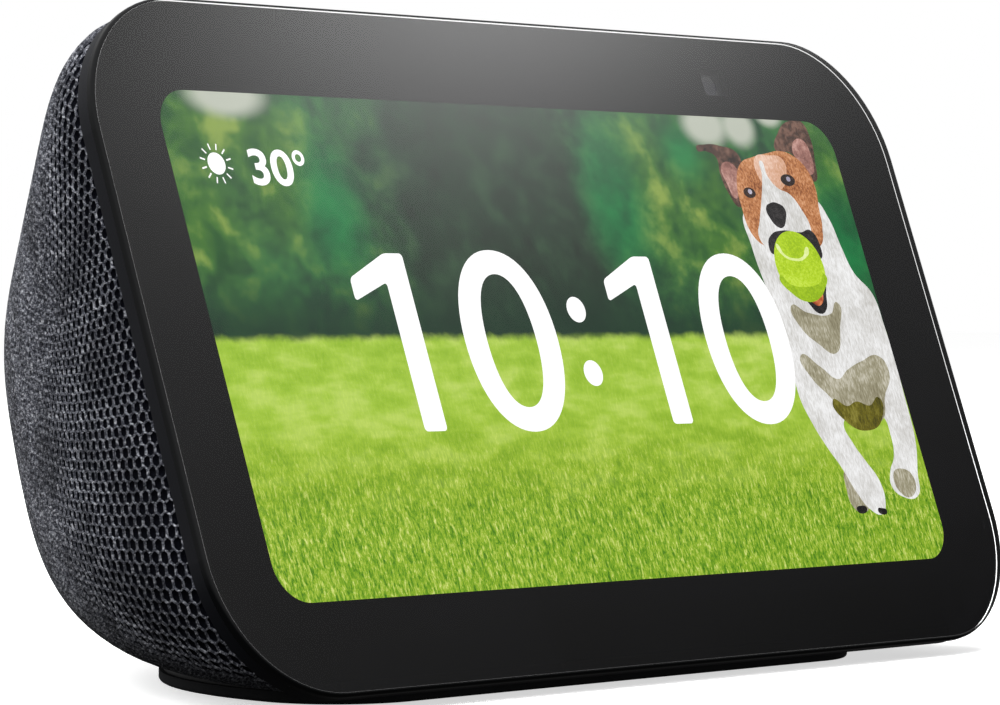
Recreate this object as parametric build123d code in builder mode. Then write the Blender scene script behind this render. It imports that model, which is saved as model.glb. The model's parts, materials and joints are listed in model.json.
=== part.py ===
"""Smart display with a tilted glass front, a knitted cover over a rounded body and a rear speaker.

Millimetres, +Z up. The front looks along -Y. The origin is on the surface that the display
stands on, under the middle of its overall width and depth.
"""

from build123d import *
from math import cos, radians, sin
import os

os.makedirs("parts", exist_ok=True)

# ---------------------------------------------------------------- driving dimensions
tilt = 20.0              # the front plate leans back by this many degrees
plate_w = 147.0          # front plate, across
plate_h = 85.2           # front plate, along its slope
plate_r = 17.0           # front plate, corner radius
plate_gap = 2.3          # lowest edge of the front plate above the table
body_depth = 91.0        # overall, front to back

glass_t = 1.0
glass_edge = 0.5         # rounding of the glass's front edge
mask_t = 0.1             # black print behind the glass
mask_margin = 0.15       # the print stops short of the glass's edge
tape_w = 1.7             # adhesive ring that holds the glass
tape_t = 0.15
frame_groove = 0.25      # the frame is this much smaller than the glass, all round
frame_rim = 1.65         # depth of the frame's visible edge
frame_floor_t = 1.2
fabric_t = 0.9
fabric_step = 0.5        # the fabric's face sits inside the frame's edge
shell_t = 2.2
fit_gap = 0.15           # clearance where one still piece sits inside another

screen_w = 124.95        # lit area
screen_h = 62.475
screen_r = 4.9
lcd_side = 1.5           # unlit margin of the panel at the top and the sides
lcd_chin = 3.0           # unlit margin at the bottom, where the driver chip is
lcd_t = 1.6
backlight_t = 2.2
pocket_gap = 0.4         # round the panel, in the frame's pocket

camera_x = 40.6
camera_u = 36.17         # above the screen's centre, along the slope
camera_window_w = 5.1
camera_window_h = 3.8
camera_window_r = 0.5
camera_size = 4.8
camera_t = 3.6
lens_r = 1.5
lens_t = 0.5

shutter_travel = 7.5     # blade from open to closed, towards +X
blade_w = 6.6
blade_h = 5.0
blade_t = 0.3
blade_tail = 5.0         # stretch of blade between the arm and the shading part
arm_w = 2.0
arm_h = 2.0
knob_w = 6.5
knob_d = 3.4
knob_h = 0.8
slide_gap = 0.2          # round the arm and the knob's stem

top_w = 94.0             # button panel in the flat top
top_d = 8.2
top_proud = 0.15
top_setback = 5.3        # from the body's front edge to the middle of the panel
button_r = 3.0
button_proud = 0.5
button_gap = 0.15        # radial clearance in the panel
button_travel = 0.3
button_flange = 0.8      # step that keeps the button in
button_flange_t = 0.6
button_pitch = 12.0
button_mid_x = -9.0
mic_r = 0.5
mic_x = 42.0
switch_size = 3.6
switch_h = 1.4
plunger_r = 0.9
plunger_h = 0.55
board_t = 1.0

foot_w = 102.0           # rubber foot
foot_front = 7.4         # behind the lowest edge of the front plate
foot_back = 23.5         # in front of the rearmost point
foot_corner = 12.0
foot_t = 1.4
foot_edge = 0.5
foot_handle = 0.56       # fullness of the foot's plan curve
base_step = 0.6          # base plate's flange inside the foot's outline
base_lap = 3.6           # width of the flange that laps the shell
base_t = 3.0

speaker_z = 40.0
speaker_r = 22.0
speaker_flange_t = 1.6
speaker_front = 34.6     # front of the speaker's box behind the foremost edge
magnet_r = 12.5
magnet_t = 6.0
pole_r = 5.9
coil_gap = 0.3
coil_wall = 0.35
cone_edge = 6.0          # surround and flange outside the cone
cone_t = 0.5
surround_w = 2.2
box_w = 62.0
box_h = 46.0
box_t = 2.0
box_depth = 30.0
gasket_t = 0.8
slot_h = 2.6             # sound slots in the shell, under the fabric
slot_pitch = 6.0
slot_margin = 3.5        # the outermost slots stay this far inside the speaker's edge

jack_z = 13.8
well_r = 6.5             # round well that the plug goes into
well_wall = 1.2
well_floor = 15.0        # floor of the well in front of the rearmost point
jack_bore_r = 3.0
jack_bore = 3.5          # entry bore, ahead of the pin
jack_inner_r = 2.8
jack_inner = 7.0
jack_pin_r = 0.95
jack_w = 9.0
jack_h = 7.6
jack_depth = 10.0

main_w = 108.0
main_h = 50.0
main_standoff = 2.6
screw_r = 1.0
screw_head_r = 1.9
screw_head_t = 1.0
lead_r = 0.6
lead_bend = 2.4
lead_gap = 0.4           # a wire's end stops this far from its terminal

# ---------------------------------------------------------------- places worked out from them
s = sin(radians(tilt))
c = cos(radians(tilt))
front_y = -body_depth / 2
back_y = body_depth / 2
plate_z = plate_gap + plate_h / 2 * c
plate_y = front_y + plate_h / 2 * s

mask_d = glass_t + mask_t                     # depths behind the glass's front face
frame_d = mask_d + tape_t
rim_d = frame_d + frame_rim
lcd_d = mask_d
backlight_d = lcd_d + lcd_t
floor_d = backlight_d + backlight_t + 0.1
tray_d = floor_d + frame_floor_t
main_d = tray_d + main_standoff

box_y1 = front_y + speaker_front + box_depth  # rear of the speaker's box
flange_y = box_y1 + gasket_t                  # front side of the speaker's flange
flange_back_y = flange_y + speaker_flange_t
cone_r = speaker_r - cone_edge

lcd_w = screen_w + 2 * lcd_side
lcd_h = screen_h + lcd_side + lcd_chin
lcd_u = (lcd_side - lcd_chin) / 2
pocket_w = lcd_w + 2 * pocket_gap
pocket_h = lcd_h + 2 * pocket_gap

frame_half_w = plate_w / 2 - frame_groove
frame_half_h = plate_h / 2 - frame_groove
body_half_w = frame_half_w - fabric_step
body_half_h = frame_half_h - fabric_step
body_r = plate_r - frame_groove - fabric_step


def face(depth, u=0.0):
    """Plane parallel to the glass, depth behind its front; local x is X, local y is up the slope."""
    origin = (0, plate_y + depth * c + u * s, plate_z - depth * s + u * c)
    return Plane(origin=origin, x_dir=(1, 0, 0), z_dir=(0, -c, s))


def slab(depth, thick, width, height, radius, u=0.0, x=0.0):
    """Plate parallel to the glass, from depth backwards."""
    with BuildPart() as plate:
        with BuildSketch(face(depth, u)):
            with Locations((x, 0)):
                RectangleRounded(width, height, radius)
        extrude(amount=-thick)
    return plate.part


# Rear profile of the body: (height station, distance in front of the rearmost point).
# A station is an angle on the front outline's corner arc, or a share of the straight stretch.
bottom_arc = [(-90, 21.5), (-60, 18.6), (-30, 9.4), (0, 4.4)]
straight = [(0.25, 0.5), (0.52, 0.6), (0.77, 9.2)]
top_arc = [(0, 21.8), (30, 30.6), (60, 37.2), (90, 42.6)]
side_handle = 0.48       # fullness of the plan curve; 0.55 would be an ellipse
edge_d = rim_d           # the body starts behind the frame's rim


def body_stations(inset):
    """Heights, half widths and rear points of the body's sections, inset from its skin."""
    half_h = body_half_h - inset
    radius = body_r - inset
    arc_centre = half_h - radius
    low = plate_z - arc_centre * c - edge_d * s
    high = plate_z + arc_centre * c - edge_d * s
    rows = []
    for sign, arc in ((-1, bottom_arc), (1, top_arc)):
        for angle, setback in arc:
            rise = radius * sin(radians(angle)) * c
            half_w = body_half_w - inset - radius * (1 - cos(radians(angle)))
            z = (low if sign < 0 else high) + rise
            rows.append((z, half_w, back_y - setback - inset))
    for share, setback in straight:
        rows.append((low + (high - low) * share, body_half_w - inset, back_y - setback - inset))
    return sorted(rows)


def front_at(z, depth):
    """Y of the plane parallel to the glass at that depth, at height z."""
    return plate_y + (depth + (z - plate_z) * s) / c


def body_solid(inset, depth):
    """Lofted body, inset from its skin, with its flat front at that depth."""
    with BuildPart() as body:
        for z, half_w, rear in body_stations(inset):
            front = front_at(z, depth)
            reach = rear - front
            with BuildSketch(Plane.XY.offset(z)):
                with BuildLine():
                    Line((-half_w, front), (half_w, front))
                    Bezier(
                        (half_w, front),
                        (half_w, front + side_handle * reach),
                        (side_handle * half_w, rear),
                        (0, rear),
                    )
                    Bezier(
                        (0, rear),
                        (-side_handle * half_w, rear),
                        (-half_w, front + side_handle * reach),
                        (-half_w, front),
                    )
                make_face()
        loft()
    return body.part


skin = body_solid(0, edge_d)
shell_outer = body_solid(fabric_t, edge_d)
shell_inner = body_solid(fabric_t + shell_t, edge_d - 1.0)
top_z = body_stations(0)[-1][0]               # flat top of the fabric
top_wall_z = body_stations(fabric_t)[-1][0]
ceiling_z = body_stations(fabric_t + shell_t)[-1][0]
bottom_z = body_stations(0)[0][0]
bottom_wall_z = body_stations(fabric_t)[0][0]
panel_y = front_at(top_z, edge_d) + top_setback

foot_y0 = front_y + foot_front
foot_y1 = back_y - foot_back


def foot_outline(inset, z):
    """D-shaped outline of the foot at height z, inset: straight front, rounded back."""
    half_w = foot_w / 2 - inset
    radius = foot_corner - inset
    front = foot_y0 + inset
    side = front + radius
    rear = foot_y1 - inset
    reach = foot_handle * (rear - side)
    with BuildSketch(Plane.XY.offset(z)) as outline:
        with BuildLine():
            Line((-half_w + radius, front), (half_w - radius, front))
            RadiusArc((half_w - radius, front), (half_w, side), -radius)
            Bezier((half_w, side), (half_w, side + reach), (foot_handle * half_w, rear), (0, rear))
            Bezier((0, rear), (-foot_handle * half_w, rear), (-half_w, side + reach), (-half_w, side))
            RadiusArc((-half_w, side), (-half_w + radius, front), -radius)
        make_face()
    return outline.sketch


made = []


def save(builder, label):
    """Label a finished piece and write it."""
    builder.part.label = label
    export_step(builder.part, f"parts/{label}.step")
    made.append(label)


def screws(places, shank):
    """Pan-head screws as separate solids: each place is a plane at the underside of the head."""
    with BuildPart() as group:
        for place in places:
            with BuildSketch(place):
                Circle(screw_head_r)
            extrude(amount=screw_head_t)
            with BuildSketch(place):
                Circle(screw_r)
            extrude(amount=-shank)
            with BuildSketch(place.offset(screw_head_t)):
                Rectangle(2.2, 0.5)
            extrude(amount=-0.5, mode=Mode.SUBTRACT)
    return group


# ---------------------------------------------------------------- front: glass, print, panel
with BuildPart() as cover_glass:
    with BuildSketch(face(0)):
        RectangleRounded(plate_w, plate_h, plate_r)
    extrude(amount=-glass_t)
    front_edges = cover_glass.faces().sort_by(Axis((0, 0, 0), (0, -c, s)))[-1].edges()
    fillet(front_edges, glass_edge)
save(cover_glass, "cover_glass")

with BuildPart() as border_mask:
    with BuildSketch(face(glass_t)):
        RectangleRounded(plate_w - 2 * mask_margin, plate_h - 2 * mask_margin, plate_r - mask_margin)
        RectangleRounded(screen_w, screen_h, screen_r, mode=Mode.SUBTRACT)
        with Locations((camera_x, camera_u)):
            RectangleRounded(camera_window_w, camera_window_h, camera_window_r, mode=Mode.SUBTRACT)
    extrude(amount=-mask_t)
save(border_mask, "border_mask")

tape_out = mask_margin + 0.1
with BuildPart() as glass_adhesive:
    with BuildSketch(face(mask_d)):
        RectangleRounded(plate_w - 2 * tape_out, plate_h - 2 * tape_out, plate_r - tape_out)
        inner = tape_out + tape_w
        RectangleRounded(
            plate_w - 2 * inner, plate_h - 2 * inner, plate_r - inner, mode=Mode.SUBTRACT
        )
    extrude(amount=-tape_t)
save(glass_adhesive, "glass_adhesive")

with BuildPart() as lcd_panel:
    add(slab(lcd_d, lcd_t, lcd_w, lcd_h, 1.0, lcd_u))
save(lcd_panel, "lcd_panel")

with BuildPart() as backlight:
    add(slab(backlight_d, backlight_t, lcd_w, lcd_h, 1.0, lcd_u))
save(backlight, "backlight")

# ---------------------------------------------------------------- shutter places
arm_x = camera_x - shutter_travel - blade_w / 2 - blade_tail
blade_d = mask_d + 0.25
camera_d = blade_d + blade_t + 0.35
arm_u = camera_u + 0.6
stem_y = panel_y
arm_len_d = (stem_y - plate_y - arm_u * s) / c   # depth at which the arm meets the stem
slot_x0 = arm_x - arm_w / 2 - slide_gap
slot_x1 = arm_x + arm_w / 2 + shutter_travel + slide_gap

# ---------------------------------------------------------------- frame
frame_screw_x = frame_half_w - 13.5
frame_screw_u = frame_half_h - 5.4
skirt_inset = fabric_t + shell_t + fabric_step + fit_gap
main_corners = [(sx * (main_w / 2 - 4), su * (main_h / 2 - 4)) for sx in (-1, 1) for su in (-1, 1)]
flex_slot_u = -lcd_h / 2 + 8

with BuildPart() as skirt:
    with BuildSketch(face(rim_d)):
        RectangleRounded(
            2 * (frame_half_w - skirt_inset),
            2 * (frame_half_h - skirt_inset),
            plate_r - frame_groove - skirt_inset,
        )
    extrude(amount=-(tray_d - rim_d))
    add(body_solid(fabric_t + shell_t + fit_gap, edge_d - 1.0), mode=Mode.INTERSECT)

with BuildPart() as display_frame:
    with BuildSketch(face(frame_d)):
        RectangleRounded(2 * frame_half_w, 2 * frame_half_h, plate_r - frame_groove)
    extrude(amount=-frame_rim)
    add(skirt.part)
    with BuildSketch(face(tray_d)):
        with Locations(*main_corners):
            Circle(2.6)
    extrude(amount=-main_standoff)
    # pocket for the panel and its light
    with BuildSketch(face(frame_d, lcd_u)):
        RectangleRounded(pocket_w, pocket_h, 1.2)
    extrude(amount=-(floor_d - frame_d), mode=Mode.SUBTRACT)
    # camera opening, blade track and arm slot
    with BuildSketch(face(frame_d)):
        with Locations((camera_x, camera_u)):
            Rectangle(camera_size + 2 * fit_gap, camera_size + 2 * fit_gap)
    extrude(amount=-(tray_d - frame_d), mode=Mode.SUBTRACT)
    track_x0 = slot_x0
    track_x1 = camera_x + blade_w / 2 + slide_gap
    with BuildSketch(face(frame_d)):
        with Locations(((track_x0 + track_x1) / 2, camera_u)):
            Rectangle(track_x1 - track_x0, blade_h + 2 * slide_gap)
    extrude(amount=-(blade_d + blade_t + 0.2 - frame_d), mode=Mode.SUBTRACT)
    with BuildSketch(face(frame_d)):
        with Locations(((slot_x0 + slot_x1) / 2, arm_u)):
            Rectangle(slot_x1 - slot_x0, arm_h + 2 * slide_gap)
    extrude(amount=-(tray_d - frame_d), mode=Mode.SUBTRACT)
    # screw holes with countersunk seats, pilot holes and a slot for the flat cables
    with BuildSketch(face(frame_d)):
        with GridLocations(2 * frame_screw_x, 2 * frame_screw_u, 2, 2):
            Circle(screw_head_r + fit_gap)
    extrude(amount=-(screw_head_t + 0.2), mode=Mode.SUBTRACT)
    with BuildSketch(face(frame_d)):
        with GridLocations(2 * frame_screw_x, 2 * frame_screw_u, 2, 2):
            Circle(screw_r + fit_gap)
    extrude(amount=-(tray_d - frame_d), mode=Mode.SUBTRACT)
    with BuildSketch(face(tray_d + main_standoff)):
        with Locations(*main_corners):
            Circle(screw_r)
    extrude(amount=main_standoff - 0.2, mode=Mode.SUBTRACT)
    with BuildSketch(face(floor_d, flex_slot_u)):
        Rectangle(20, 3)
    extrude(amount=-frame_floor_t, mode=Mode.SUBTRACT)
save(display_frame, "display_frame")

frame_screw_places = [
    Plane(
        origin=face(frame_d + screw_head_t + 0.2).from_local_coords((sx * frame_screw_x, su * frame_screw_u)),
        x_dir=(1, 0, 0),
        z_dir=(0, -c, s),
    )
    for sx in (-1, 1)
    for su in (-1, 1)
]
frame_boss_len = 3.4
frame_screws = screws(frame_screw_places, tray_d - frame_d - screw_head_t - 0.2 + frame_boss_len - 0.4)
save(frame_screws, "frame_screws")

# ---------------------------------------------------------------- body: shell, fabric, base
well_y = back_y - well_floor
base_open = base_step + base_lap
base_screw_in = base_step + base_lap / 2 + 0.1
base_screw_xy = [
    (foot_w / 2 - base_screw_in, foot_y0 + foot_corner - 1.0),
    (-foot_w / 2 + base_screw_in, foot_y0 + foot_corner - 1.0),
    (0, foot_y1 - base_screw_in),
]

with BuildPart() as well_tube:
    with BuildSketch(Plane.XZ.offset(-(well_y - well_wall))):
        with Locations((0, jack_z)):
            Circle(well_r + well_wall)
    extrude(amount=-(well_floor + well_wall))
    add(skin, mode=Mode.INTERSECT)

with BuildPart() as frame_bosses:
    with BuildSketch(face(tray_d + 0.05)):
        with GridLocations(2 * frame_screw_x, 2 * frame_screw_u, 2, 2):
            Circle(2.6)
    extrude(amount=-frame_boss_len)
    add(shell_outer, mode=Mode.INTERSECT)

with BuildPart() as rear_shell:
    add(shell_outer)
    add(shell_inner, mode=Mode.SUBTRACT)
    add(well_tube.part)
    add(frame_bosses.part)
    with BuildSketch(face(edge_d)):
        with GridLocations(2 * frame_screw_x, 2 * frame_screw_u, 2, 2):
            Circle(screw_r)
    extrude(amount=-(tray_d - edge_d + frame_boss_len), mode=Mode.SUBTRACT)
    # the plug's well and the jack's nose
    with BuildSketch(Plane.XZ.offset(-well_y)):
        with Locations((0, jack_z)):
            Circle(well_r)
    extrude(amount=-(well_floor + 1), mode=Mode.SUBTRACT)
    with BuildSketch(Plane.XZ.offset(-(well_y - well_wall))):
        with Locations((0, jack_z)):
            Circle(jack_bore_r + 1.0 + fit_gap)
    extrude(amount=-(well_wall + 1), mode=Mode.SUBTRACT)
    # room for the camera where the shell is thick enough to reach it
    camera_room = camera_size + 0.1
    add(slab(camera_d, camera_t + 0.05, camera_room, camera_room, 0.4, camera_u, camera_x), mode=Mode.SUBTRACT)
    # opening for the base plate
    extrude(foot_outline(base_open, bottom_wall_z - 1), amount=shell_t + 2.5, mode=Mode.SUBTRACT)
    with BuildSketch(Plane.XY.offset(bottom_wall_z - 1)):
        with Locations(*base_screw_xy):
            Circle(screw_r)
    extrude(amount=shell_t + 2.5, mode=Mode.SUBTRACT)
    # sound slots behind the fabric
    slot_side = int((speaker_r - slot_margin) / slot_pitch)
    for i in range(-slot_side, slot_side + 1):
        rise = i * slot_pitch
        half_chord = ((speaker_r - 2) ** 2 - rise**2) ** 0.5 - 2
        with BuildSketch(Plane.XZ.offset(-(flange_back_y + 1))):
            with Locations((0, speaker_z + rise)):
                Rectangle(2 * half_chord, slot_h)
        extrude(amount=-(back_y - flange_back_y), mode=Mode.SUBTRACT)
    # top: buttons, shutter slot, microphone holes
    button_x = [button_mid_x + i * button_pitch for i in (-1, 0, 1)]
    with BuildSketch(Plane.XY.offset(ceiling_z - 0.5)):
        with Locations(*[(x, panel_y) for x in button_x]):
            Circle(button_r + button_gap)
        with Locations(((slot_x0 + slot_x1) / 2, panel_y)):
            Rectangle(slot_x1 - slot_x0, arm_w + 2 * slide_gap)
        with Locations((-mic_x, panel_y), (mic_x, panel_y)):
            Circle(mic_r)
    extrude(amount=shell_t + 2, mode=Mode.SUBTRACT)
save(rear_shell, "rear_shell")

panel_gap = 0.1
with BuildPart() as fabric_cover:
    add(skin)
    add(shell_outer, mode=Mode.SUBTRACT)
    with BuildSketch(Plane.XY.offset(top_wall_z - 0.1)):
        with Locations((0, panel_y)):
            SlotOverall(top_w + 2 * panel_gap, top_d + 2 * panel_gap)
    extrude(amount=fabric_t + 1, mode=Mode.SUBTRACT)
    extrude(foot_outline(base_step - fit_gap, bottom_z - 1), amount=fabric_t + 1.05, mode=Mode.SUBTRACT)
    with BuildSketch(Plane.XZ.offset(-(well_y - well_wall))):
        with Locations((0, jack_z)):
            Circle(well_r + well_wall)
    extrude(amount=-(well_floor + well_wall), mode=Mode.SUBTRACT)
save(fabric_cover, "fabric_cover")

with BuildPart() as base_plate:
    extrude(foot_outline(base_step, foot_t), amount=bottom_wall_z - foot_t)
    extrude(foot_outline(base_open + fit_gap, bottom_wall_z), amount=base_t - 1.0)
    with BuildSketch(Plane.XY.offset(foot_t)):
        with Locations(*base_screw_xy):
            Circle(screw_r + 0.1)
    extrude(amount=base_t, mode=Mode.SUBTRACT)
save(base_plate, "base_plate")

base_screw_places = [Plane(origin=(x, y, foot_t), z_dir=(0, 0, -1)) for x, y in base_screw_xy]
with BuildPart() as rubber_foot:
    extrude(foot_outline(0, 0), amount=foot_t)
    fillet(rubber_foot.faces().sort_by(Axis.Z)[0].edges(), foot_edge)
    with BuildSketch(Plane.XY.offset(foot_t)):
        with Locations(*base_screw_xy):
            Circle(screw_head_r + fit_gap)
    extrude(amount=-(screw_head_t + 0.05), mode=Mode.SUBTRACT)
save(rubber_foot, "rubber_foot")

base_screws = screws(base_screw_places, bottom_wall_z - foot_t + shell_t - 0.4)
save(base_screws, "base_screws")

# ---------------------------------------------------------------- top: panel, buttons, switches
panel_top = top_z + top_proud
with BuildPart() as top_panel:
    with BuildSketch(Plane.XY.offset(top_wall_z)):
        with Locations((0, panel_y)):
            SlotOverall(top_w, top_d)
    extrude(amount=panel_top - top_wall_z)
    fillet(top_panel.faces().sort_by(Axis.Z)[-1].edges(), 0.12)
    with BuildSketch(Plane.XY.offset(top_wall_z)):
        with Locations(*[(x, panel_y) for x in button_x]):
            Circle(button_r + button_gap)
        with Locations(((slot_x0 + slot_x1) / 2, panel_y)):
            Rectangle(slot_x1 - slot_x0, arm_w + 2 * slide_gap)
        with Locations((-mic_x, panel_y), (mic_x, panel_y)):
            Circle(mic_r)
    extrude(amount=2, mode=Mode.SUBTRACT)
save(top_panel, "top_panel")

flange_top = ceiling_z - 0.1
flange_low = flange_top - button_flange_t
button_names = ["volume_down", "volume_up", "mute"]
for name, x in zip(button_names, button_x):
    with BuildPart() as button:
        with BuildSketch(Plane.XY.offset(flange_low)):
            with Locations((x, panel_y)):
                Circle(button_r)
        extrude(amount=panel_top + button_proud - flange_low)
        fillet(button.faces().sort_by(Axis.Z)[-1].edges(), 0.3)
        with BuildSketch(Plane.XY.offset(flange_low)):
            with Locations((x, panel_y)):
                Circle(button_r + button_flange)
        extrude(amount=button_flange_t)
    save(button, f"{name}_button")

    with BuildPart() as plunger:
        with BuildSketch(Plane.XY.offset(flange_low)):
            with Locations((x, panel_y)):
                Circle(plunger_r)
        extrude(amount=-(plunger_h + 0.5))
    save(plunger, f"{name}_plunger")

switch_top = flange_low - plunger_h
board_top = switch_top - switch_h
with BuildPart() as tact_switches:
    for x in button_x:
        with BuildSketch(Plane.XY.offset(board_top)):
            with Locations((x, panel_y)):
                Rectangle(switch_size, switch_size)
        extrude(amount=switch_h)
    with BuildSketch(Plane.XY.offset(switch_top)):
        with Locations(*[(x, panel_y) for x in button_x]):
            Circle(plunger_r + 0.1)
    extrude(amount=-(0.5 + button_travel + 0.2), mode=Mode.SUBTRACT)
save(tact_switches, "tact_switches")

board_w = 2 * mic_x + 5
board_y0 = panel_y - switch_size / 2 - 0.8
board_y1 = panel_y + 5.6
notch_y1 = stem_y + 2.4
post_xy = [(slot_x0 - 6, board_y1 - 1.7), (-mic_x + 6, board_y1 - 1.7)]
with BuildPart() as button_board:
    with BuildSketch(Plane.XY.offset(board_top)):
        with Locations((0, (board_y0 + board_y1) / 2)):
            Rectangle(board_w, board_y1 - board_y0)
        with Locations(((slot_x0 + slot_x1) / 2, (board_y0 - 1 + notch_y1) / 2)):
            Rectangle(slot_x1 - slot_x0 + 2, notch_y1 - board_y0 + 1, mode=Mode.SUBTRACT)
    extrude(amount=-board_t)
save(button_board, "button_board")

with BuildPart() as microphones:
    with BuildSketch(Plane.XY.offset(board_top)):
        with Locations((-mic_x, panel_y), (mic_x, panel_y)):
            Rectangle(2.8, 3.6)
    extrude(amount=1.1)
    with BuildSketch(Plane.XY.offset(board_top + 1.1)):
        with Locations((-mic_x, panel_y), (mic_x, panel_y)):
            Circle(mic_r)
    extrude(amount=-0.4, mode=Mode.SUBTRACT)
save(microphones, "microphones")

# ---------------------------------------------------------------- shutter and camera
with BuildPart() as shutter_slider:
    with BuildSketch(face(blade_d + blade_t, arm_u)):
        with Locations((arm_x, 0)):
            Rectangle(arm_w, arm_h)
    extrude(amount=-(arm_len_d - blade_d - blade_t))
    stem_foot = plate_z - arm_len_d * s + arm_u * c - arm_h / 2
    with BuildSketch(Plane.XY.offset(stem_foot)):
        with Locations((arm_x, stem_y)):
            Rectangle(arm_w, arm_w)
    extrude(amount=panel_top + 0.1 - stem_foot)
    with BuildSketch(Plane.XY.offset(panel_top + 0.05)):
        with Locations((arm_x, stem_y)):
            RectangleRounded(knob_w, knob_d, 0.8)
    extrude(amount=knob_h)
    fillet(shutter_slider.faces().sort_by(Axis.Z)[-1].edges(), 0.25)
save(shutter_slider, "shutter_slider")

with BuildPart() as shutter_blade:
    blade_x1 = arm_x + blade_tail + blade_w
    blade_x0 = arm_x - arm_w / 2
    with BuildSketch(face(blade_d, camera_u)):
        with Locations(((blade_x0 + blade_x1) / 2, 0)):
            RectangleRounded(blade_x1 - blade_x0, blade_h, 0.5)
    extrude(amount=-blade_t)
save(shutter_blade, "shutter_blade")

with BuildPart() as camera_module:
    add(slab(camera_d, camera_t, camera_size, camera_size, 0.4, camera_u, camera_x))
    with BuildSketch(face(camera_d, camera_u)):
        with Locations((camera_x, 0)):
            Circle(lens_r)
    extrude(amount=-lens_t, mode=Mode.SUBTRACT)
save(camera_module, "camera_module")

with BuildPart() as camera_lens:
    with BuildSketch(face(camera_d + 0.1, camera_u)):
        with Locations((camera_x, 0)):
            Circle(lens_r)
    extrude(amount=-(lens_t - 0.1))
save(camera_lens, "camera_lens")

# ---------------------------------------------------------------- electronics on the tray
with BuildPart() as main_board:
    with BuildSketch(face(main_d)):
        Rectangle(main_w, main_h)
        with Locations(*main_corners):
            Circle(screw_r + 0.2, mode=Mode.SUBTRACT)
    extrude(amount=-board_t)
save(main_board, "main_board")

main_back_d = main_d + board_t
board_screw_places = [
    Plane(origin=face(main_back_d).from_local_coords((x, u)), x_dir=(1, 0, 0), z_dir=(0, c, -s))
    for x, u in main_corners
]
board_screws = screws(board_screw_places, board_t + main_standoff - 0.4)
save(board_screws, "board_screws")

can_w, can_h, can_t = 34.0, 26.0, 2.2
with BuildPart() as shield_can:
    add(slab(main_back_d, can_t, can_w, can_h, 1.0, 4, -14))
save(shield_can, "shield_can")

pad_t = 0.5
with BuildPart() as thermal_pad:
    add(slab(main_back_d + can_t, pad_t, 20, 16, 0.5, 4, -14))
save(thermal_pad, "thermal_pad")

with BuildPart() as heat_spreader:
    add(slab(main_back_d + can_t + pad_t, 1.2, 44, 32, 2.0, 4, -14))
save(heat_spreader, "heat_spreader")

with BuildPart() as board_connectors:
    add(slab(main_back_d, 1.6, 9, 5, 0.2, -18, 24))
    add(slab(main_back_d, 1.6, 9, 5, 0.2, -18, 10))
    add(slab(main_back_d, 1.2, 14, 4, 0.2, 18, 26))
save(board_connectors, "board_connectors")

with BuildPart() as antennas:
    for x in (-1, 1):
        add(slab(tray_d, 0.4, 5, 30, 0.2, 0, x * (main_w / 2 + 6)))
save(antennas, "antennas")

with BuildPart() as display_flex:
    # leaves the light's back through the tray's slot and folds up to the board
    add(slab(floor_d + 0.1, frame_floor_t + main_standoff - 0.4, 16, 0.3, 0.1, flex_slot_u))
save(display_flex, "display_flex")

# ---------------------------------------------------------------- speaker
coil_r = pole_r + coil_gap
coil_out = coil_r + coil_wall
plate_t = 2.4
magnet_back = flange_y - 11.0                         # rear of the top plate
magnet_front = magnet_back - plate_t


def turned(points):
    """Ring turned about the speaker's axis from (radius, y) points."""
    with BuildPart() as ring:
        with BuildSketch(Plane(origin=(0, 0, speaker_z), x_dir=(1, 0, 0), z_dir=(0, 0, 1))):
            with BuildLine():
                Polyline(*points, close=True)
            make_face()
        revolve(axis=Axis((0, 0, speaker_z), (0, 1, 0)))
    return ring.part


with BuildPart() as speaker_basket:
    add(
        turned(
            [
                (cone_r + surround_w + 0.2, flange_back_y),
                (speaker_r, flange_back_y),
                (speaker_r, flange_y),
                (cone_r + surround_w + 1.6, flange_y),
                (magnet_r + 1.6, magnet_back + 1.2),
                (magnet_r + 1.6, magnet_back - 0.1),
                (coil_out + 0.6, magnet_back - 0.1),
                (coil_out + 0.6, magnet_back + 1.0),
                (magnet_r, magnet_back + 1.2),
                (cone_r + surround_w + 0.2, flange_y),
            ]
        )
    )
    with BuildSketch(Plane.XZ.offset(-(magnet_back + 2.2))):
        with Locations((0, speaker_z)):
            with PolarLocations(speaker_r - 4, 4, 45):
                Rectangle(9, 12)
    extrude(amount=-(flange_y - magnet_back - 3.2), mode=Mode.SUBTRACT)
    with BuildSketch(Plane.XZ.offset(-(flange_y - gasket_t - box_t))):
        with Locations((0, speaker_z)):
            with PolarLocations(speaker_r - 1.6, 4, 0):
                Circle(screw_r + 0.05)
    extrude(amount=-(speaker_flange_t + gasket_t + box_t + 1), mode=Mode.SUBTRACT)
save(speaker_basket, "speaker_basket")

with BuildPart() as speaker_top_plate:
    r0 = coil_out + coil_gap
    y1 = magnet_back - 0.1
    add(turned([(r0, y1), (magnet_r, y1), (magnet_r, y1 - plate_t), (r0, y1 - plate_t)]))
save(speaker_top_plate, "speaker_top_plate")

with BuildPart() as speaker_magnet:
    y1 = magnet_back - 0.1 - plate_t
    add(turned([(r0 + 1, y1), (magnet_r, y1), (magnet_r, y1 - magnet_t), (r0 + 1, y1 - magnet_t)]))
save(speaker_magnet, "speaker_magnet")

with BuildPart() as speaker_yoke:
    y1 = magnet_back - 0.1 - plate_t - magnet_t
    pole_top = magnet_back
    add(
        turned(
            [
                (0, y1 - plate_t),
                (magnet_r, y1 - plate_t),
                (magnet_r, y1),
                (pole_r, y1),
                (pole_r, pole_top),
                (0, pole_top),
            ]
        )
    )
save(speaker_yoke, "speaker_yoke")

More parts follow.
